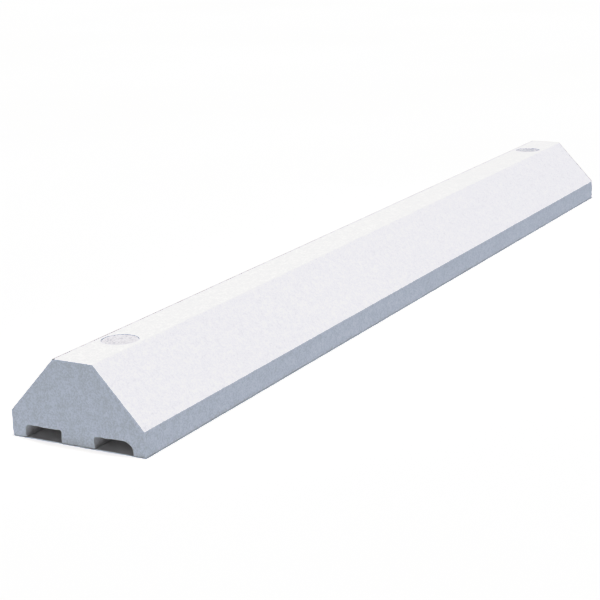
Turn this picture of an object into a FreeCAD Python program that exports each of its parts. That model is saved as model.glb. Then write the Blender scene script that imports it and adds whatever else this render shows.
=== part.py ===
import FreeCAD, Part
import math
import os

# Compact parking wheel stop: one moulded plastic bar and the two caps that close its anchor holes.
# Millimetres. +X runs along the bar, +Y across it and +Z up. The origin is at the centre of the
# footprint, on the ground.

Vector = FreeCAD.Vector
INCH = 25.4

# Bar, outside
BAR_LENGTH = 48 * INCH
BASE_WIDTH = 6 * INCH
BAR_HEIGHT = 3.25 * INCH
SHOULDER_HEIGHT = 1 * INCH
TOP_WIDTH = 1.75 * INCH

# Bar, underside: two channels that run the whole length, each side of a centre rail
RAIL_WIDTH = 1.5 * INCH
LEFT_FOOT_WIDTH = 16.3
RIGHT_FOOT_WIDTH = 14.2
CHANNEL_HEIGHT = 12.4

# Bar, rounding of the long edges and of the rim of each end
TOP_EDGE_RADIUS = 1.6
SHOULDER_RADIUS = 1.4
FOOT_EDGE_RADIUS = 1.0
LEFT_FOOT_OUTER_RADIUS = 2.6
LEFT_CHANNEL_RADIUS = 4.0
RIGHT_CHANNEL_RADIUS = 10.0
RAIL_ROOT_RADIUS = 1.2
END_RIM_RADIUS = 0.8

# Anchor holes: a seat for the cap, a pocket for the anchor's head and washer, and the anchor's bore
HOLE_FROM_END = 3 * INCH
SEAT_DIAMETER = 37.0
SEAT_DEPTH = 3.2
SEAT_MOUTH_CHAMFER = 0.4
POCKET_DIAMETER = 1.25 * INCH
POCKET_DEPTH = 1.25 * INCH
BORE_DIAMETER = 17.5
BORE_MOUTH_CHAMFER = 0.8

# Hole cap: a round head, and a split skirt with a bead at its lower end
CAP_GAP = 0.3
HEAD_THICKNESS = 2.4
HEAD_EDGE_CHAMFER = 0.5
SKIRT_DIAMETER = 30.5
SKIRT_WALL = 1.8
SKIRT_LENGTH = 12.0
BEAD_HEIGHT = 1.6
SKIRT_SLOT_COUNT = 4
SKIRT_SLOT_WIDTH = 3.0
SKIRT_SLOT_LENGTH = 9.0

# Heights and places that follow from the sizes above
SEAT_FLOOR = BAR_HEIGHT - SEAT_DEPTH
POCKET_FLOOR = BAR_HEIGHT - POCKET_DEPTH
HOLE_OFFSET = BAR_LENGTH / 2 - HOLE_FROM_END


def rounded_wire(corners):
    """A closed wire in the YZ plane through (y, z, radius) corners, each rounded by a tangent arc."""
    starts, middles, ends = [], [], []
    for i, (y, z, radius) in enumerate(corners):
        before = corners[i - 1]
        after = corners[(i + 1) % len(corners)]
        corner = Vector(0, y, z)
        back = (Vector(0, before[0], before[1]) - corner).normalize()
        onward = (Vector(0, after[0], after[1]) - corner).normalize()
        half_angle = back.getAngle(onward) / 2
        reach = radius / math.tan(half_angle)
        bisector = (back + onward).normalize()
        centre = corner + bisector * (radius / math.sin(half_angle))
        starts.append(corner + back * reach)
        middles.append(centre - bisector * radius)
        ends.append(corner + onward * reach)
    edges = []
    for i in range(len(corners)):
        following = (i + 1) % len(corners)
        edges.append(Part.Arc(starts[i], middles[i], ends[i]).toShape())
        edges.append(Part.LineSegment(ends[i], starts[following]).toShape())
    return Part.Wire(edges)


def bar_outline():
    """The bar's cross-section, from the right foot's outer corner up over the top and back below."""
    base = BASE_WIDTH / 2
    top = TOP_WIDTH / 2
    rail = RAIL_WIDTH / 2
    left_wall = base - LEFT_FOOT_WIDTH
    right_wall = -base + RIGHT_FOOT_WIDTH
    return rounded_wire(
        [
            (-base, 0, FOOT_EDGE_RADIUS),
            (-base, SHOULDER_HEIGHT, SHOULDER_RADIUS),
            (-top, BAR_HEIGHT, TOP_EDGE_RADIUS),
            (top, BAR_HEIGHT, TOP_EDGE_RADIUS),
            (base, SHOULDER_HEIGHT, SHOULDER_RADIUS),
            (base, 0, LEFT_FOOT_OUTER_RADIUS),
            (left_wall, 0, FOOT_EDGE_RADIUS),
            (left_wall, CHANNEL_HEIGHT, LEFT_CHANNEL_RADIUS),
            (rail, CHANNEL_HEIGHT, RAIL_ROOT_RADIUS),
            (rail, 0, FOOT_EDGE_RADIUS),
            (-rail, 0, FOOT_EDGE_RADIUS),
            (-rail, CHANNEL_HEIGHT, RAIL_ROOT_RADIUS),
            (right_wall, CHANNEL_HEIGHT, RIGHT_CHANNEL_RADIUS),
            (right_wall, 0, FOOT_EDGE_RADIUS),
        ]
    )


def end_rim_edges(bar):
    """The edges that lie in the plane of either end of the bar."""
    return [e for e in bar.Edges if abs(abs(e.CenterOfMass.x) - BAR_LENGTH / 2) < 1e-6]


def cylinder(x, radius, bottom, top):
    """An upright cylinder on the bar's centre line."""
    return Part.makeCylinder(radius, top - bottom, Vector(x, 0, bottom))


def cone(x, bottom_radius, top_radius, bottom, top):
    """An upright cone frustum on the bar's centre line."""
    return Part.makeCone(bottom_radius, top_radius, top - bottom, Vector(x, 0, bottom))


def anchor_hole(x):
    """Everything that is hollow at one anchor hole, from the cap's seat down to the ground."""
    overrun = 5.0
    bore = BORE_DIAMETER / 2
    seat = SEAT_DIAMETER / 2
    hollow = cylinder(x, bore, -overrun, POCKET_FLOOR)
    hollow = hollow.fuse(cylinder(x, POCKET_DIAMETER / 2, POCKET_FLOOR, SEAT_FLOOR))
    hollow = hollow.fuse(cylinder(x, seat, SEAT_FLOOR, BAR_HEIGHT + overrun))
    foot_mouth = cone(x, bore + BORE_MOUTH_CHAMFER, bore, 0, BORE_MOUTH_CHAMFER)
    chamfer_bottom = BAR_HEIGHT - SEAT_MOUTH_CHAMFER
    seat_mouth = cone(x, seat, seat + SEAT_MOUTH_CHAMFER, chamfer_bottom, BAR_HEIGHT)
    return hollow.fuse([foot_mouth, seat_mouth])


def stop_bar():
    """The one-piece bar: its cross-section drawn out along X, with rounded end rims and two anchor holes."""
    outline = bar_outline()
    outline.translate(Vector(-BAR_LENGTH / 2, 0, 0))
    bar = Part.Face(outline).extrude(Vector(BAR_LENGTH, 0, 0))
    bar = bar.makeFillet(END_RIM_RADIUS, end_rim_edges(bar))
    for side in (-1, 1):
        bar = bar.cut(anchor_hole(side * HOLE_OFFSET))
    return bar.Solids[0]


def skirt_slots(x, skirt_bottom):
    """Upright slots that split the lower part of the skirt into springy fingers."""
    slots = []
    for i in range(SKIRT_SLOT_COUNT):
        slot = Part.makeBox(
            SKIRT_DIAMETER,
            SKIRT_SLOT_WIDTH,
            SKIRT_SLOT_LENGTH,
            Vector(x, -SKIRT_SLOT_WIDTH / 2, skirt_bottom),
        )
        slot.rotate(Vector(x, 0, 0), Vector(0, 0, 1), 45 + i * 360 / SKIRT_SLOT_COUNT)
        slots.append(slot)
    return slots


def hole_cap(x):
    """A cap in its seat: the head rests on the ledge and the skirt hangs in the pocket."""
    head = SEAT_DIAMETER / 2 - CAP_GAP
    head_top = SEAT_FLOOR + HEAD_THICKNESS
    chamfer_bottom = head_top - HEAD_EDGE_CHAMFER
    skirt = SKIRT_DIAMETER / 2
    skirt_bottom = SEAT_FLOOR - SKIRT_LENGTH
    bead = POCKET_DIAMETER / 2 - CAP_GAP
    cap = cylinder(x, head, SEAT_FLOOR, chamfer_bottom)
    cap = cap.fuse(cone(x, head, head - HEAD_EDGE_CHAMFER, chamfer_bottom, head_top))
    cap = cap.fuse(cylinder(x, skirt, skirt_bottom, SEAT_FLOOR))
    cap = cap.fuse(cone(x, skirt, bead, skirt_bottom, skirt_bottom + BEAD_HEIGHT / 2))
    cap = cap.fuse(cone(x, bead, skirt, skirt_bottom + BEAD_HEIGHT / 2, skirt_bottom + BEAD_HEIGHT))
    cap = cap.cut(cylinder(x, skirt - SKIRT_WALL, skirt_bottom, SEAT_FLOOR))
    cap = cap.cut(skirt_slots(x, skirt_bottom))
    return cap.removeSplitter().Solids[0]


def main():
    os.makedirs("parts", exist_ok=True)
    nodes = {
        "stop_bar": stop_bar(),
        "near_hole_cap": hole_cap(-HOLE_OFFSET),
        "far_hole_cap": hole_cap(HOLE_OFFSET),
    }
    for name, shape in nodes.items():
        shape.exportStep("parts/" + name + ".step")


main()
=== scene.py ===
import math

import bmesh
import bpy
from mathutils import Euler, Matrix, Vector, noise
from mathutils.geometry import delaunay_2d_cdt


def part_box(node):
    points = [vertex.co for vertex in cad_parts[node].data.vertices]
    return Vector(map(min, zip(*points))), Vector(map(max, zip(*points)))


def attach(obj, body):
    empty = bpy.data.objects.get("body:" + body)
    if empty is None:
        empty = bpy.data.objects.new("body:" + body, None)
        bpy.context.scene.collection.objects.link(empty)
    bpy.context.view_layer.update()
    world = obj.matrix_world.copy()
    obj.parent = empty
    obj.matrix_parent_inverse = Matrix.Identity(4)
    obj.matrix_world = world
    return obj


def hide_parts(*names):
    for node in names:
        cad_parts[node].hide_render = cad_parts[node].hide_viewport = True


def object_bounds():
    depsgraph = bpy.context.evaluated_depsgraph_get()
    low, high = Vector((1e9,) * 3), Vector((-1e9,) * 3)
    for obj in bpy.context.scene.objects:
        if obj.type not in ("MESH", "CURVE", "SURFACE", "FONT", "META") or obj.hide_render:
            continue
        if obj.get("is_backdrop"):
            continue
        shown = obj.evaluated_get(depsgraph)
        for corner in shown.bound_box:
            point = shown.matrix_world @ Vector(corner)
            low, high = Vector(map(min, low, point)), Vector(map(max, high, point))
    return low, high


# Parking wheel stop: a detailed mesh for the moulded bar and for each hole cap, their plastics, and a
# plain studio. Metres, in the CAD model's frame: +X along the bar, +Y across it, +Z up, ground at zero.

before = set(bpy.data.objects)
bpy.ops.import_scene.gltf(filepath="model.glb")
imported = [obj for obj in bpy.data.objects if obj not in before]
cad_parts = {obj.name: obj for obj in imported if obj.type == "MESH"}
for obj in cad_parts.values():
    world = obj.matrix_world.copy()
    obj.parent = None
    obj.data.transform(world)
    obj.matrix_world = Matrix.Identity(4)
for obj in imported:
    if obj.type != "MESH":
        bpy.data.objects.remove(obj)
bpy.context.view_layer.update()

MM = 0.001

# Outside sizes, from the CAD solids
bar_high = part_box("stop_bar")[1]
HALF_LENGTH = bar_high.x
HALF_WIDTH = bar_high.y
HEIGHT = bar_high.z
CAPS = {"near": "near_hole_cap", "far": "far_hole_cap"}

# The bar's cross-section
SHOULDER_HEIGHT = 25.4 * MM
HALF_TOP = 22.225 * MM
HALF_RAIL = 19.05 * MM
LEFT_FOOT_WIDTH = 16.3 * MM
RIGHT_FOOT_WIDTH = 14.2 * MM
CHANNEL_HEIGHT = 12.4 * MM
TOP_EDGE_RADIUS = 1.6 * MM
SHOULDER_RADIUS = 1.4 * MM
FOOT_EDGE_RADIUS = 1.0 * MM
LEFT_FOOT_OUTER_RADIUS = 2.6 * MM
LEFT_CHANNEL_RADIUS = 4.0 * MM
RIGHT_CHANNEL_RADIUS = 10.0 * MM
RAIL_ROOT_RADIUS = 1.2 * MM
END_RIM_RADIUS = 0.8 * MM

# An anchor hole, from the top down
SEAT_RADIUS = 18.5 * MM
SEAT_DEPTH = 3.2 * MM
SEAT_MOUTH_CHAMFER = 0.4 * MM
POCKET_RADIUS = 15.875 * MM
POCKET_DEPTH = 31.75 * MM
BORE_RADIUS = 8.75 * MM
BORE_MOUTH_CHAMFER = 0.8 * MM

# Mesh density
ARC_STEPS = 5
CELL = 3.2 * MM
STATION_CELL = 4.0 * MM
SUPPORT = 0.6 * MM
END_SUPPORT = 0.15 * MM
HOLE_CELLS = 16
HOLE_WINDOW = 24.0 * MM
END_CELL = 1.7 * MM
SEAT_BLEND_STEPS = 3
BORE_BLEND_STEPS = 5

# Surface relief: how far from a seat it starts and is full, and how deep each kind goes
SMOOTH_MARGIN = 1.5 * MM
FADE_WIDTH = 25 * MM
BROAD_RELIEF = 0.22 * MM
FINE_RELIEF = 0.05 * MM
END_WEAR_DEPTH = 3.6 * MM
END_WEAR_LENGTH = 5 * MM
END_WEAR_HEIGHT = 34 * MM
FOOT_FLASH = 0.5 * MM
FOOT_FLASH_HEIGHT = 2.4 * MM


# ---------------------------------------------------------------- bar mesh


def line_points(start, end, cells=None):
    """Points inside a straight run: a support point near each end, and even cells between them."""
    length = (end - start).length
    if length < 3 * SUPPORT:
        return [start.lerp(end, 0.5)]
    cells = cells or max(1, round(length / CELL))
    first, last = SUPPORT / length, 1 - SUPPORT / length
    return [start.lerp(end, first + (last - first) * i / cells) for i in range(cells + 1)]


def bar_corners():
    """(y, z, radius, cells on the straight run that follows) for each corner of the cross-section."""
    left_wall = HALF_WIDTH - LEFT_FOOT_WIDTH
    right_wall = -HALF_WIDTH + RIGHT_FOOT_WIDTH
    return [
        (-HALF_WIDTH, 0, FOOT_EDGE_RADIUS, None),
        (-HALF_WIDTH, SHOULDER_HEIGHT, SHOULDER_RADIUS, None),
        (-HALF_TOP, HEIGHT, TOP_EDGE_RADIUS, HOLE_CELLS),
        (HALF_TOP, HEIGHT, TOP_EDGE_RADIUS, None),
        (HALF_WIDTH, SHOULDER_HEIGHT, SHOULDER_RADIUS, None),
        (HALF_WIDTH, 0, LEFT_FOOT_OUTER_RADIUS, None),
        (left_wall, 0, FOOT_EDGE_RADIUS, None),
        (left_wall, CHANNEL_HEIGHT, LEFT_CHANNEL_RADIUS, None),
        (HALF_RAIL, CHANNEL_HEIGHT, RAIL_ROOT_RADIUS, None),
        (HALF_RAIL, 0, FOOT_EDGE_RADIUS, HOLE_CELLS),
        (-HALF_RAIL, 0, FOOT_EDGE_RADIUS, None),
        (-HALF_RAIL, CHANNEL_HEIGHT, RAIL_ROOT_RADIUS, None),
        (right_wall, CHANNEL_HEIGHT, RIGHT_CHANNEL_RADIUS, None),
        (right_wall, 0, FOOT_EDGE_RADIUS, None),
    ]


def bar_outline():
    """The cross-section as (point, outward normal) pairs in the YZ plane, and the two runs with holes.

    Each run is the list of outline indices of its HOLE_CELLS + 1 points, in order of rising y.
    """
    corners = bar_corners()
    count = len(corners)
    arcs = []
    for i, (y, z, radius, _) in enumerate(corners):
        corner = Vector((y, z))
        back = (Vector(corners[i - 1][:2]) - corner).normalized()
        onward = (Vector(corners[(i + 1) % count][:2]) - corner).normalized()
        half_angle = back.angle(onward) / 2
        centre = corner + (back + onward).normalized() * (radius / math.sin(half_angle))
        reach = radius / math.tan(half_angle)
        spoke_in = (corner + back * reach - centre) / radius
        spoke_out = (corner + onward * reach - centre) / radius
        convex = back.x * onward.y - back.y * onward.x > 0
        spokes = [spoke_in.slerp(spoke_out, k / ARC_STEPS) for k in range(ARC_STEPS + 1)]
        arcs.append([(centre + s * radius, s if convex else -s) for s in spokes])
    outline = []
    runs = []
    for i in range(count):
        outline.extend(arcs[i])
        start, normal = arcs[i][-1]
        end = arcs[(i + 1) % count][0][0]
        points = line_points(start, end, corners[i][3])
        if corners[i][3]:
            indices = list(range(len(outline), len(outline) + len(points)))
            runs.append(indices if end.x > start.x else indices[::-1])
        outline.extend((p, normal) for p in points)
    return outline, runs


def stations(hole_centres):
    """x of every cross-section between the end rims, closer together at each anchor hole."""
    end = HALF_LENGTH - END_RIM_RADIUS
    near, far = sorted(hole_centres)
    stops = [-end, -end + SUPPORT, near - HOLE_WINDOW, near + HOLE_WINDOW]
    stops += [far - HOLE_WINDOW, far + HOLE_WINDOW, end - SUPPORT, end]
    xs = [stops[0]]
    near_window, far_window = 2, 4
    for i, (start, stop) in enumerate(zip(stops, stops[1:])):
        is_window = i in (near_window, far_window)
        cells = HOLE_CELLS if is_window else max(1, round((stop - start) / STATION_CELL))
        xs += [start + (stop - start) * k / cells for k in range(1, cells + 1)]
    return xs


def bridge(bm, first, second):
    """Quads between two closed rings with the same number of vertices."""
    for k in range(len(first)):
        m = (k + 1) % len(first)
        bm.faces.new((first[k], first[m], second[m], second[k]))


def ring(bm, outline, x, inset):
    """One cross-section of the bar, shrunk by inset."""
    return [bm.verts.new((x, p.x - n.x * inset, p.y - n.y * inset)) for p, n in outline]


def end_face(bm, rim):
    """Fills a flat ring at one end with small even triangles."""
    x = rim[0].co.x
    loop = [Vector((v.co.y, v.co.z)) for v in rim]
    inside = []
    rows = round(HEIGHT / END_CELL)
    columns = round(2 * HALF_WIDTH / END_CELL)
    for row in range(1, rows):
        for column in range(columns):
            shift = 0.5 * (row % 2)
            y = -HALF_WIDTH + (column + shift) * 2 * HALF_WIDTH / columns
            point = Vector((y, row * HEIGHT / rows))
            nearest = min((point - p).length_squared for p in loop)
            if nearest > (0.7 * END_CELL) ** 2:
                inside.append(point)
    keep_inside_only, tolerance = 1, 1e-7
    boundary = [list(range(len(loop)))]
    result = delaunay_2d_cdt(loop + inside, [], boundary, keep_inside_only, tolerance)
    points, triangles, sources = result[0], result[2], result[3]
    made = {}
    for triangle in triangles:
        corners = []
        for k in triangle:
            source = min(sources[k]) if sources[k] else None
            if source is not None and source < len(loop):
                corners.append(rim[source])
                continue
            if k not in made:
                made[k] = bm.verts.new((x, points[k].x, points[k].y))
            corners.append(made[k])
        bm.faces.new(corners)


def end_rim(bm, outline, side, last):
    """Rounds one end over from its last cross-section and closes it."""
    for k in range(1, ARC_STEPS + 1):
        turn = math.pi / 2 * k / ARC_STEPS
        x = side * (HALF_LENGTH - END_RIM_RADIUS * (1 - math.sin(turn)))
        following = ring(bm, outline, x, END_RIM_RADIUS * (1 - math.cos(turn)))
        bridge(bm, last, following)
        last = following
    support = ring(bm, outline, side * HALF_LENGTH, END_RIM_RADIUS + END_SUPPORT)
    bridge(bm, last, support)
    end_face(bm, support)


def hole_ring(bm, centre_x, radius, z):
    """A circle of vertices that starts at the corner towards -X and -Y."""
    count = 4 * HOLE_CELLS
    made = []
    for k in range(count):
        turn = math.radians(-135) + 2 * math.pi * k / count
        made.append(bm.verts.new((centre_x + radius * math.cos(turn), radius * math.sin(turn), z)))
    return made


def window_loop(rings, first, run):
    """The square of vertices around a hole, in the same order as hole_ring."""
    last = first + HOLE_CELLS
    loop = [rings[i][run[0]] for i in range(first, last)]
    loop += [rings[last][j] for j in run[:-1]]
    loop += [rings[i][run[-1]] for i in range(last, first, -1)]
    loop += [rings[first][j] for j in run[:0:-1]]
    return loop


def blend_rings(bm, square, circle, steps):
    """Rings that change from the square of a window to the circle of a hole."""
    last = square
    for step in range(1, steps):
        t = step / steps
        between = [bm.verts.new(a.co.lerp(b.co, t)) for a, b in zip(square, circle)]
        bridge(bm, last, between)
        last = between
    bridge(bm, last, circle)


def hole_profile():
    """(radius, z) down one anchor hole, with close pairs where an edge is crisp."""
    seat_floor = HEIGHT - SEAT_DEPTH
    pocket_floor = HEIGHT - POCKET_DEPTH
    soft = 0.3 * MM
    profile = [
        (SEAT_RADIUS + SEAT_MOUTH_CHAMFER, HEIGHT),
        (SEAT_RADIUS, HEIGHT - SEAT_MOUTH_CHAMFER),
        (SEAT_RADIUS, seat_floor + soft),
        (SEAT_RADIUS - soft, seat_floor),
        (POCKET_RADIUS + soft, seat_floor),
        (POCKET_RADIUS, seat_floor - soft),
    ]
    profile += [(POCKET_RADIUS, seat_floor + (pocket_floor - seat_floor) * k / 6) for k in range(1, 6)]
    profile += [(POCKET_RADIUS, pocket_floor + soft), (POCKET_RADIUS - soft, pocket_floor)]
    profile += [(BORE_RADIUS + soft, pocket_floor), (BORE_RADIUS, pocket_floor - soft)]
    bore_foot = BORE_MOUTH_CHAMFER
    profile += [(BORE_RADIUS, pocket_floor + (bore_foot - pocket_floor) * k / 9) for k in range(1, 9)]
    profile += [(BORE_RADIUS, bore_foot), (BORE_RADIUS + BORE_MOUTH_CHAMFER, 0)]
    return profile


def anchor_hole(bm, rings, first, centre_x, top_run, rail_run):
    """One anchor hole, from its window in the bar's top to its window in the rail's underside."""
    circles = [hole_ring(bm, centre_x, radius, z) for radius, z in hole_profile()]
    blend_rings(bm, window_loop(rings, first, top_run), circles[0], SEAT_BLEND_STEPS)
    for upper, lower in zip(circles, circles[1:]):
        bridge(bm, upper, lower)
    blend_rings(bm, window_loop(rings, first, rail_run), circles[-1], BORE_BLEND_STEPS)


def wander(point, size):
    """Smooth noise from -1 to 1 whose lumps are about size across."""
    return noise.noise(point / size)


def bar_relief(point, normal, hole_centres):
    """How far the moulding stands out of its nominal surface at a point."""
    from_hole = min(math.hypot(point.x - x, point.y) for x in hole_centres)
    if from_hole < SEAT_RADIUS + SMOOTH_MARGIN:
        return 0.0
    fade = min(1.0, (from_hole - SEAT_RADIUS - SMOOTH_MARGIN) / FADE_WIDTH)
    long_point = Vector((point.x * 0.3, point.y, point.z))
    relief = fade * BROAD_RELIEF * wander(long_point, 45 * MM)
    relief += fade * FINE_RELIEF * wander(point + Vector((3.1, 0, 0)), 11 * MM)
    at_end = max(0.0, 1 - (HALF_LENGTH - abs(point.x)) / END_WEAR_LENGTH)
    low = min(1.0, max(0.0, (END_WEAR_HEIGHT - point.z) / (12 * MM)))
    worn = max(0.0, 0.1 + wander(point + Vector((0, 0, 8.3)), 5 * MM))
    relief -= at_end * low * END_WEAR_DEPTH * worn * math.hypot(normal.y, normal.z)
    near_ground = max(0.0, 1 - point.z / FOOT_FLASH_HEIGHT)
    ragged = 0.5 + 0.5 * wander(point + Vector((0, 5.7, 0)), 7 * MM)
    relief += near_ground * FOOT_FLASH * ragged * (1 - abs(normal.z))
    return relief


def raise_relief(bm, hole_centres):
    """Moves every vertex of the bar along its normal, and keeps its feet on the ground."""
    bm.normal_update()
    moves = [(v, v.normal * bar_relief(v.co, v.normal, hole_centres)) for v in bm.verts]
    for vertex, move in moves:
        vertex.co += move
        vertex.co.z = max(vertex.co.z, 0.0)


def mesh_object(name, bm):
    """A smooth-shaded object from a finished bmesh, with crisp edges kept crisp."""
    bmesh.ops.recalc_face_normals(bm, faces=bm.faces)
    mesh = bpy.data.meshes.new(name)
    bm.to_mesh(mesh)
    bm.free()
    mesh.shade_smooth()
    mesh.set_sharp_from_angle(angle=math.radians(50))
    made = bpy.data.objects.new(name, mesh)
    bpy.context.collection.objects.link(made)
    return made


def build_bar(hole_centres):
    """The bar as one closed mesh."""
    outline, (top_run, rail_run) = bar_outline()
    xs = stations(hole_centres)
    bm = bmesh.new()
    rings = [ring(bm, outline, x, 0) for x in xs]
    windows = {min(range(len(xs)), key=lambda i: abs(xs[i] - x + HOLE_WINDOW)): x for x in hole_centres}
    in_window = set()
    for first in windows:
        for i in range(first, first + HOLE_CELLS):
            for run in (top_run, rail_run):
                in_window.update((i, min(a, b)) for a, b in zip(run, run[1:]))
    for i in range(len(xs) - 1):
        for j in range(len(outline)):
            if (i, j) not in in_window:
                m = (j + 1) % len(outline)
                bm.faces.new((rings[i][j], rings[i][m], rings[i + 1][m], rings[i + 1][j]))
    for first, x in windows.items():
        anchor_hole(bm, rings, first, x, top_run, rail_run)
    end_rim(bm, outline, -1, rings[0])
    end_rim(bm, outline, 1, rings[-1])
    bmesh.ops.delete(bm, geom=[v for v in bm.verts if not v.link_faces], context="VERTS")
    bmesh.ops.recalc_face_normals(bm, faces=bm.faces)
    raise_relief(bm, hole_centres)
    return mesh_object("moulded_bar", bm)


# ---------------------------------------------------------------- cap mesh

CAP_SEGMENTS = 96
SLOT_COUNT = 4
SLOT_SEGMENTS = 3
HEAD_EDGE_CHAMFER = 0.5 * MM
HEAD_THICKNESS = 2.4 * MM
SKIRT_RADIUS = 15.25 * MM
SKIRT_WALL = 1.8 * MM
BEAD_RADIUS = 15.575 * MM
BEAD_HEIGHT = 1.6 * MM
SLOT_LENGTH = 9.0 * MM
CAP_DISH = 0.25 * MM
GATE_MARK_RADIUS = 1.6 * MM
GATE_MARK_DEPTH = 0.2 * MM


def cap_profile(radius, bottom, top):
    """(radius, z) round one cap, from the middle of its head, over the edge and down the skirt and back
    up inside, with the numbers of the first and last points that lie in the skirt's slots."""
    under_head = top - HEAD_THICKNESS
    slot_top = bottom + SLOT_LENGTH
    inner = SKIRT_RADIUS - SKIRT_WALL
    soft = 0.15 * MM
    profile = [
        (0, top - GATE_MARK_DEPTH),
        (GATE_MARK_RADIUS * 0.7, top - GATE_MARK_DEPTH),
        (GATE_MARK_RADIUS, top),
    ]
    rings = 8
    for k in range(1, rings + 1):
        t = k / rings
        r = GATE_MARK_RADIUS + (radius - HEAD_EDGE_CHAMFER - soft - GATE_MARK_RADIUS) * t
        profile.append((r, top - CAP_DISH * math.sin(math.pi * t) ** 2))
    profile += [
        (radius - HEAD_EDGE_CHAMFER, top - soft / 2),
        (radius - soft / 2, top - HEAD_EDGE_CHAMFER),
        (radius, top - HEAD_EDGE_CHAMFER - soft),
        (radius, under_head + soft),
        (radius - soft, under_head),
        (SKIRT_RADIUS + soft, under_head),
        (SKIRT_RADIUS, under_head - soft),
    ]
    slot_start = len(profile)
    profile += [
        (SKIRT_RADIUS, slot_top),
        (SKIRT_RADIUS, (slot_top + bottom) / 2),
        (SKIRT_RADIUS, bottom + BEAD_HEIGHT),
        (BEAD_RADIUS, bottom + BEAD_HEIGHT / 2),
        (SKIRT_RADIUS, bottom),
        (inner + soft, bottom),
        (inner, bottom + soft),
        (inner, (slot_top + bottom) / 2),
        (inner, slot_top),
    ]
    slot_end = len(profile) - 1
    profile += [(inner, under_head), (inner * 0.5, under_head), (0, under_head)]
    return profile, slot_start, slot_end


def build_cap(name, low, high):
    """One hole cap as a closed mesh inside its CAD solid's box."""
    centre_x = (low.x + high.x) / 2
    profile, slot_start, slot_end = cap_profile((high.x - low.x) / 2, low.z, high.z)
    bm = bmesh.new()
    spokes = []
    top_pole = bm.verts.new((centre_x, 0, profile[0][1]))
    under_pole = bm.verts.new((centre_x, 0, profile[-1][1]))
    for k in range(CAP_SEGMENTS):
        turn = 2 * math.pi * k / CAP_SEGMENTS
        spoke = [top_pole]
        for r, z in profile[1:-1]:
            spoke.append(bm.verts.new((centre_x + r * math.cos(turn), r * math.sin(turn), z)))
        spokes.append(spoke + [under_pole])
    slots = set()
    for i in range(SLOT_COUNT):
        start = round((i + 0.5) * CAP_SEGMENTS / SLOT_COUNT - SLOT_SEGMENTS / 2)
        slots.update((start + s) % CAP_SEGMENTS for s in range(SLOT_SEGMENTS))
    for k in range(CAP_SEGMENTS):
        this, following = spokes[k], spokes[(k + 1) % CAP_SEGMENTS]
        for j in range(len(profile) - 1):
            if k in slots and slot_start <= j < slot_end:
                continue
            corners = [this[j], following[j], following[j + 1], this[j + 1]]
            bm.faces.new(list(dict.fromkeys(corners)))
        if k in slots:
            ceiling = (this[slot_start], following[slot_start], following[slot_end], this[slot_end])
            bm.faces.new(ceiling)
        for neighbour, spoke in (((k - 1) % CAP_SEGMENTS, this), ((k + 1) % CAP_SEGMENTS, following)):
            if k in slots and neighbour not in slots:
                bm.faces.new(spoke[slot_start : slot_end + 1])
    bmesh.ops.delete(bm, geom=[v for v in bm.verts if not v.link_faces], context="VERTS")
    return mesh_object(name, bm)


# ---------------------------------------------------------------- materials

# Brightest and darkest grain. The caps are greyer than the bar; the far cap is darker still, a shaded copy
# of the same plastic with painted shade for its more grazing view.
BAR_TONES = (0.905, 0.755)
CAP_TONES = {"near": (0.71, 0.565), "far": (0.675, 0.55)}


class Nodes:
    """A short way to write a material's node tree."""

    def __init__(self, name):
        self.material = bpy.data.materials.new(name)
        self.material.use_nodes = True
        self.tree = self.material.node_tree
        self.shader = self.tree.nodes["Principled BSDF"]
        self.place = self.add("ShaderNodeTexCoord").outputs["Object"]

    def add(self, kind, **settings):
        made = self.tree.nodes.new(kind)
        for key, value in settings.items():
            setattr(made, key, value)
        return made

    def feed(self, socket, value):
        """Links a socket to another node's output, or sets it to a constant."""
        if isinstance(value, bpy.types.NodeSocket):
            self.tree.links.new(value, socket)
        else:
            socket.default_value = value

    def noise(self, size, detail=3.0, roughness=0.5, distortion=0.0):
        """Noise from 0 to 1 whose lumps are about size metres across."""
        made = self.add("ShaderNodeTexNoise")
        self.feed(made.inputs["Vector"], self.place)
        made.inputs["Scale"].default_value = 1 / size
        made.inputs["Detail"].default_value = detail
        made.inputs["Roughness"].default_value = roughness
        made.inputs["Distortion"].default_value = distortion
        return made.outputs["Fac"]

    def math(self, operation, first, second=0.0, third=0.0):
        made = self.add("ShaderNodeMath", operation=operation)
        for socket, value in zip(made.inputs, (first, second, third)):
            self.feed(socket, value)
        return made.outputs[0]

    def spread(self, value, low, high, to_low=0.0, to_high=1.0):
        """Maps low..high on to to_low..to_high, smoothly and clamped."""
        made = self.add("ShaderNodeMapRange", interpolation_type="SMOOTHSTEP")
        self.feed(made.inputs["Value"], value)
        bounds = (("From Min", low), ("From Max", high), ("To Min", to_low), ("To Max", to_high))
        for socket, number in bounds:
            made.inputs[socket].default_value = number
        return made.outputs["Result"]

    def mix(self, factor, first, second):
        """A colour between two colours, by the sockets of the node's RGBA mode."""
        made = self.add("ShaderNodeMix", data_type="RGBA")
        self.feed(made.inputs[0], factor)
        self.feed(made.inputs[6], first)
        self.feed(made.inputs[7], second)
        return made.outputs[2]

    def bump(self, height, distance, strength, under=None):
        made = self.add("ShaderNodeBump")
        self.feed(made.inputs["Height"], height)
        made.inputs["Distance"].default_value = distance
        made.inputs["Strength"].default_value = strength
        if under is not None:
            self.feed(made.inputs["Normal"], under)
        return made.outputs["Normal"]


def grey(value, tint=(1.0, 1.0, 1.0)):
    """An opaque colour from one brightness and a tint."""
    return tuple(value * t for t in tint) + (1.0,)


# Tints
COOL = (0.99, 0.99, 1.0)
WARM = (1.0, 0.99, 0.985)
# Warm tint of the painted edge shade
EDGE_SHADE_TINT = (1.07, 1.0, 0.92)


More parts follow.
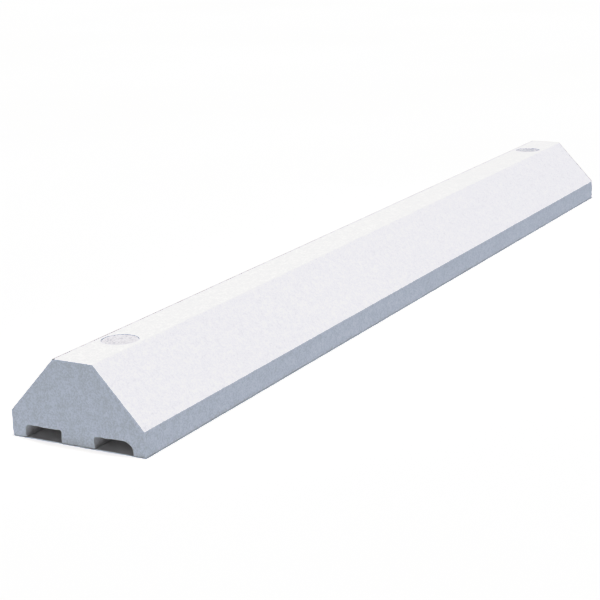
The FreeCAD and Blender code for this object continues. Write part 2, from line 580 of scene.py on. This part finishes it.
def moulded_plastic(name, pale, shade, tint, disc_centre=None):
    """White recycled polyethylene: granular skin, soft mottling, fine flecks and edges lightened by a
    painted highlight.

    A cap, which gives the centre of its disc, has a darker ring round its rim, dirt and painted shade of the
    gap round it; the bar has a thin line of painted shade along its back edge and round its far end, and
    flow marks on its ends.
    """
    n = Nodes(name)
    grain = n.noise(1.9 * MM, detail=2, roughness=0.65)
    pebbles = n.noise(6 * MM, detail=3, roughness=0.6, distortion=0.4)
    mottle = n.noise(24 * MM, detail=4, roughness=0.6, distortion=0.6)
    clouds = n.noise(160 * MM, detail=2)

    speckle = n.math("MULTIPLY_ADD", pebbles, 0.35, n.math("MULTIPLY", grain, 0.65))
    speckle = n.spread(speckle, 0.36, 0.64)
    colour = n.mix(speckle, grey(shade, tint), grey(pale, tint))
    cloudy = n.math("MULTIPLY_ADD", mottle, 0.6, n.math("MULTIPLY", clouds, 0.4))
    colour = n.mix(n.spread(cloudy, 0.40, 0.72, 0.0, 0.12), colour, grey(shade * 0.9, tint))

    flecks = n.add("ShaderNodeTexVoronoi")
    n.feed(flecks.inputs["Vector"], n.place)
    flecks.inputs["Scale"].default_value = 1 / (9 * MM)
    fleck = n.spread(flecks.outputs["Distance"], 0.05, 0.10, 1.0, 0.0)
    scarce = n.spread(n.noise(31 * MM, detail=1), 0.52, 0.60)
    colour = n.mix(n.math("MULTIPLY", n.math("MULTIPLY", fleck, scarce), 0.16), colour, grey(0.45))

    # Painted highlight: sharp edges lightened towards white, picked out by pointiness.
    pointed = n.add("ShaderNodeNewGeometry").outputs["Pointiness"]
    edge = n.math("MULTIPLY", n.spread(pointed, 0.505, 0.56), n.spread(mottle, 0.35, 0.6, 0.4, 1.0))
    colour = n.mix(n.math("MULTIPLY", edge, 0.6), colour, grey(min(0.97, pale * 1.06)))

    height = n.math("MULTIPLY_ADD", grain, 0.7, pebbles)
    normal = n.bump(height, 0.16 * MM, 0.6)
    if disc_centre:
        # A darker ring round the cap's rim: dirt, and painted shade of the gap between cap and seat.
        distance = n.add("ShaderNodeVectorMath", operation="DISTANCE")
        n.feed(distance.inputs[0], n.place)
        distance.inputs[1].default_value = disc_centre
        rim_dark_start, rim_dark_full = SEAT_RADIUS - 2.0 * MM, SEAT_RADIUS - 0.5 * MM
        outer = n.spread(distance.outputs["Value"], rim_dark_start, rim_dark_full, 0.0, 0.25)
        patchy = n.spread(pebbles, 0.35, 0.6, 0.5, 1.0)
        colour = n.mix(n.math("MULTIPLY", outer, patchy), colour, grey(0.42))
    else:
        # Painted shade: a thin dark line along the back edge of the top and round the far end.
        colour = n.mix(n.math("MULTIPLY", painted_edge_shade(n), 0.85), colour, grey(0.36, EDGE_SHADE_TINT))
        ripples = end_ripples(n)
        colour = n.mix(n.math("MULTIPLY", ripples, 0.12), colour, grey(shade * 0.8))
        normal = n.bump(ripples, 0.25 * MM, 0.5, under=normal)

    uneven = n.math("MULTIPLY_ADD", pebbles, 0.5, n.math("MULTIPLY", mottle, 0.5))
    rough = n.spread(uneven, 0.3, 0.7, 0.5, 0.66)
    n.feed(n.shader.inputs["Base Color"], colour)
    n.feed(n.shader.inputs["Roughness"], rough)
    n.feed(n.shader.inputs["Normal"], normal)
    n.shader.inputs["IOR"].default_value = 1.5
    n.shader.inputs["Specular IOR Level"].default_value = 0.15
    return n.material


def painted_edge_shade(n):
    """Painted shade, from 0 to 1, in a thin dark line along the back edge of the bar's top and round its far
    end.
    """
    split = n.add("ShaderNodeSeparateXYZ")
    n.feed(split.inputs[0], n.place)
    across, up = split.outputs["Y"], split.outputs["Z"]
    back = n.math("MULTIPLY", n.spread(across, HALF_TOP - 2.7 * MM, HALF_TOP - 1.5 * MM),
                  n.spread(up, HEIGHT - 1.2 * MM, HEIGHT - 0.7 * MM))
    far = n.math("MULTIPLY", n.spread(split.outputs["X"], HALF_LENGTH - 3.6 * MM, HALF_LENGTH - 1.8 * MM),
                 n.spread(up, SHOULDER_HEIGHT - 1 * MM, SHOULDER_HEIGHT + 1 * MM))
    broken = n.spread(n.noise(11 * MM, detail=3), 0.3, 0.55, 0.35, 1.0)
    return n.math("MULTIPLY", n.math("MAXIMUM", back, far), broken)


def end_ripples(n):
    """Curved flow marks, from 0 to 1, on the two end faces only."""
    split = n.add("ShaderNodeSeparateXYZ")
    n.feed(split.inputs[0], n.place)
    at_end = n.math("GREATER_THAN", n.math("ABSOLUTE", split.outputs["X"]), HALF_LENGTH - END_RIM_RADIUS / 2)
    moved = n.add("ShaderNodeMapping")
    n.feed(moved.inputs["Vector"], n.place)
    moved.inputs["Location"].default_value = (0, -18 * MM, 22 * MM)
    moved.inputs["Scale"].default_value = (0, 1, 1)
    waves = n.add("ShaderNodeTexWave", wave_type="RINGS", rings_direction="SPHERICAL")
    n.feed(waves.inputs["Vector"], moved.outputs[0])
    waves.inputs["Scale"].default_value = 40
    waves.inputs["Distortion"].default_value = 3.5
    waves.inputs["Detail"].default_value = 3
    waves.inputs["Detail Scale"].default_value = 1.5
    faint = n.spread(n.noise(28 * MM, detail=2), 0.4, 0.62)
    return n.math("MULTIPLY", n.math("MULTIPLY", waves.outputs["Fac"], faint), at_end)


def floor_paint():
    """Plain pale studio floor with a faint unevenness."""
    n = Nodes("studio_floor")
    broad = n.noise(0.9, detail=3)
    fine = n.noise(6 * MM, detail=4)
    colour = n.mix(n.spread(broad, 0.3, 0.7), grey(0.88), grey(0.89))
    n.feed(n.shader.inputs["Base Color"], colour)
    n.feed(n.shader.inputs["Normal"], n.bump(fine, 0.05 * MM, 0.2))
    n.shader.inputs["Roughness"].default_value = 0.9
    n.shader.inputs["Specular IOR Level"].default_value = 0.0
    return n.material


# ---------------------------------------------------------------- studio


def build_floor():
    """A wide flat disc on the ground."""
    radius, rings, spokes = 40.0, 8, 96
    bm = bmesh.new()
    middle = bm.verts.new((0, 0, 0))
    last = None
    for k in range(1, rings + 1):
        r = radius * (k / rings) ** 2
        turns = [2 * math.pi * s / spokes for s in range(spokes)]
        circle = [bm.verts.new((r * math.cos(t), r * math.sin(t), 0)) for t in turns]
        if last:
            bridge(bm, last, circle)
        else:
            for s in range(spokes):
                bm.faces.new((middle, circle[s], circle[(s + 1) % spokes]))
        last = circle
    floor = mesh_object("floor", bm)
    floor.data.materials.append(floor_paint())
    floor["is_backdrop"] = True


# Tone curves, as (light, shown) points. The green and blue ones act first and cool the shadows under
# neutral highlights, and then the film curve acts on all three channels.
FILM_CURVE = [
    (0.0, 0.0),
    (0.20, 0.13),
    (0.35, 0.26),
    (0.47, 0.37),
    (0.53, 0.44),
    (0.585, 0.52),
    (0.62, 0.60),
    (0.65, 0.71),
    (0.68, 0.79),
    (0.71, 0.83),
    (0.74, 0.85),
    (0.79, 0.88),
    (0.85, 0.901),
    (0.92, 0.948),
    (1.0, 1.0),
]
GREEN_CURVE = [
    (0.0, 0.0),
    (0.25, 0.258),
    (0.38, 0.410),
    (0.466, 0.502),
    (0.49, 0.524),
    (0.60, 0.610),
    (0.672, 0.670),
    (0.735, 0.726),
    (0.83, 0.820),
    (1.0, 1.0),
]
BLUE_CURVE = [
    (0.0, 0.0),
    (0.25, 0.270),
    (0.38, 0.445),
    (0.466, 0.549),
    (0.49, 0.577),
    (0.60, 0.630),
    (0.672, 0.690),
    (0.735, 0.784),
    (0.83, 0.822),
    (1.0, 1.0),
]


def film_response(view):
    """A bright, contrasty exposure with cool shadows, tuned to the reference's own tones."""
    view.view_transform = "Standard"
    view.use_curve_mapping = True
    mapping = view.curve_mapping
    green, blue, combined = 1, 2, 3
    for number, curve in ((green, GREEN_CURVE), (blue, BLUE_CURVE), (combined, FILM_CURVE)):
        for light, shown in curve[1:-1]:
            mapping.curves[number].points.new(light, shown)
    mapping.update()


def pale_backdrop(world):
    """A surround that the camera sees as white, and that gives almost no light of its own."""
    world.use_nodes = True
    tree = world.node_tree
    background = tree.nodes["Background"]
    background.inputs["Color"].default_value = (1.0, 1.0, 1.0, 1.0)
    seen = tree.nodes.new("ShaderNodeLightPath").outputs["Is Camera Ray"]
    strength = tree.nodes.new("ShaderNodeMapRange")
    strength.inputs["To Min"].default_value = 0.02
    strength.inputs["To Max"].default_value = 1.0
    tree.links.new(seen, strength.inputs["Value"])
    tree.links.new(strength.outputs["Result"], background.inputs["Strength"])


def build_lights():
    """One broad soft light right overhead, and a very faint surround."""
    data = bpy.data.lights.new("overhead", "SUN")
    data.angle = math.radians(24)
    data.energy = 3.46
    overhead = bpy.data.objects.new("overhead", data)
    overhead.location = (0, 0, 3)
    bpy.context.collection.objects.link(overhead)
    world = bpy.data.worlds.new("surround")
    pale_backdrop(world)
    bpy.context.scene.world = world
    film_response(bpy.context.scene.view_settings)


def build_camera():
    """A long lens, low and to the right of the near end, placed by the perspective fit."""
    data = bpy.data.cameras.new("camera")
    data.sensor_width = 36
    data.lens = 96.45
    data.clip_start = 0.05
    data.clip_end = 100
    camera = bpy.data.objects.new("camera", data)
    heading, pitch, roll = (math.radians(a) for a in (29.414, -15.415, -1.887))
    camera.location = (-HALF_LENGTH - 1.1181, -0.8715, 0.5204)
    turn = Euler((math.pi / 2 + pitch, 0, heading - math.pi / 2)).to_quaternion()
    camera.rotation_mode = "QUATERNION"
    camera.rotation_quaternion = turn @ Euler((0, 0, roll)).to_quaternion()
    bpy.context.collection.objects.link(camera)
    bpy.context.scene.camera = camera


# ---------------------------------------------------------------- build


def main():
    cap_boxes = {side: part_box(node) for side, node in CAPS.items()}
    hole_centres = [(low.x + high.x) / 2 for low, high in cap_boxes.values()]
    bar = build_bar(hole_centres)
    bar.data.materials.append(moulded_plastic("bar_plastic", *BAR_TONES, COOL))
    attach(bar, "bar")
    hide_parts("stop_bar")
    for side, (low, high) in cap_boxes.items():
        cap = build_cap(side + "_cap", low, high)
        # The far cap's darker tones are painted shade.
        pale, shade = CAP_TONES[side]
        disc_centre = ((low.x + high.x) / 2, 0, high.z)
        cap.data.materials.append(moulded_plastic(side + "_cap_plastic", pale, shade, WARM, disc_centre))
        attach(cap, side + "_cap")
        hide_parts(CAPS[side])
    build_floor()
    build_lights()
    build_camera()
    low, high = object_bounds()


main()
